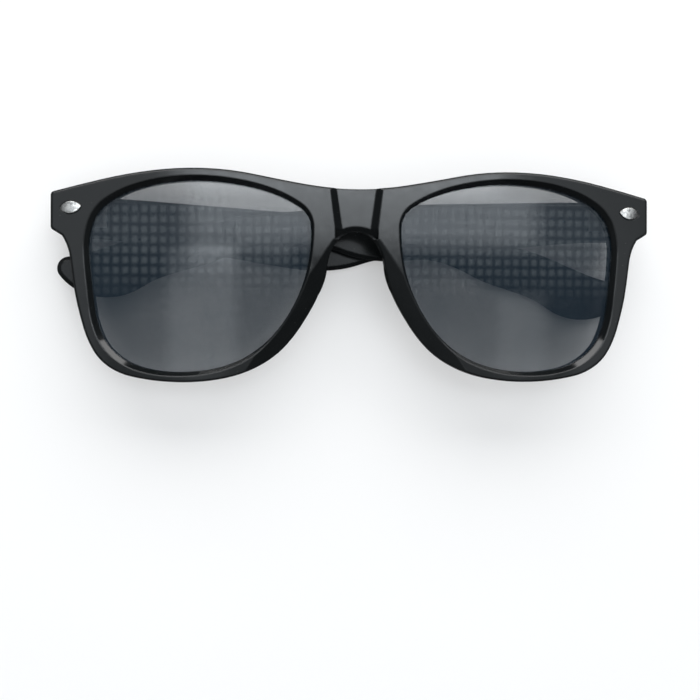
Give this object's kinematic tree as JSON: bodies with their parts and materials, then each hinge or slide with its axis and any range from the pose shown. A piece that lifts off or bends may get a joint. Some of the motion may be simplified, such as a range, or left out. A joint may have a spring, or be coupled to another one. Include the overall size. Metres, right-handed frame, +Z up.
{
  "type": "diffraction glasses",
  "caption": "Folding spectacles with tinted lenses backed by diffraction film, almond metal studs, steel hinges and hinged arms, folded and lying on the outer arm.",
  "frame": {"origin": "on the table under the middle of the folded glasses' bounding box", "axes": "+X runs across the front to the right as seen from the front, +Y from the chin side to the brow side, +Z up from the table, out of the front face of the glasses"},
  "size_m": [0.1452, 0.051, 0.0181],
  "materials": {
    "frame_plastic": "moulded gloss black",
    "tinted_lens": "smoke-tinted clear plastic",
    "film": "embossed clear film",
    "stud_metal": "satin",
    "hinge_steel": "plated",
    "screw_steel": "plated"
  },
  "bodies": {
    "front": {"front_frame": "frame_plastic", "lens_left": "tinted_lens", "diffraction_film_left": "film", "corner_stud_left": "stud_metal", "front_hinge_leaf_left": "hinge_steel", "hinge_screw_left": "screw_steel", "lens_right": "tinted_lens", "diffraction_film_right": "film", "corner_stud_right": "stud_metal", "front_hinge_leaf_right": "hinge_steel", "hinge_screw_right": "screw_steel"},
    "left_arm": {"temple_left": "frame_plastic", "temple_hinge_leaf_left": "hinge_steel", "temple_stud_left": "stud_metal"},
    "right_arm": {"temple_right": "frame_plastic", "temple_hinge_leaf_right": "hinge_steel", "temple_stud_right": "stud_metal"}
  },
  "joints": [
    {"name": "temple_left_hinge", "type": "hinge", "parent": "front", "child": "left_arm", "pos_m": [-0.06771, 0.01527, 0.00466], "axis": [0.0192, 0.9998, 0.0005], "range_deg": [0, 91.55]},
    {"name": "temple_right_hinge", "type": "hinge", "parent": "front", "child": "right_arm", "pos_m": [0.06794, 0.01527, 0.0081], "axis": [-0.0192, -0.9998, -0.0005], "range_deg": [0, 94.45]}
  ]
}
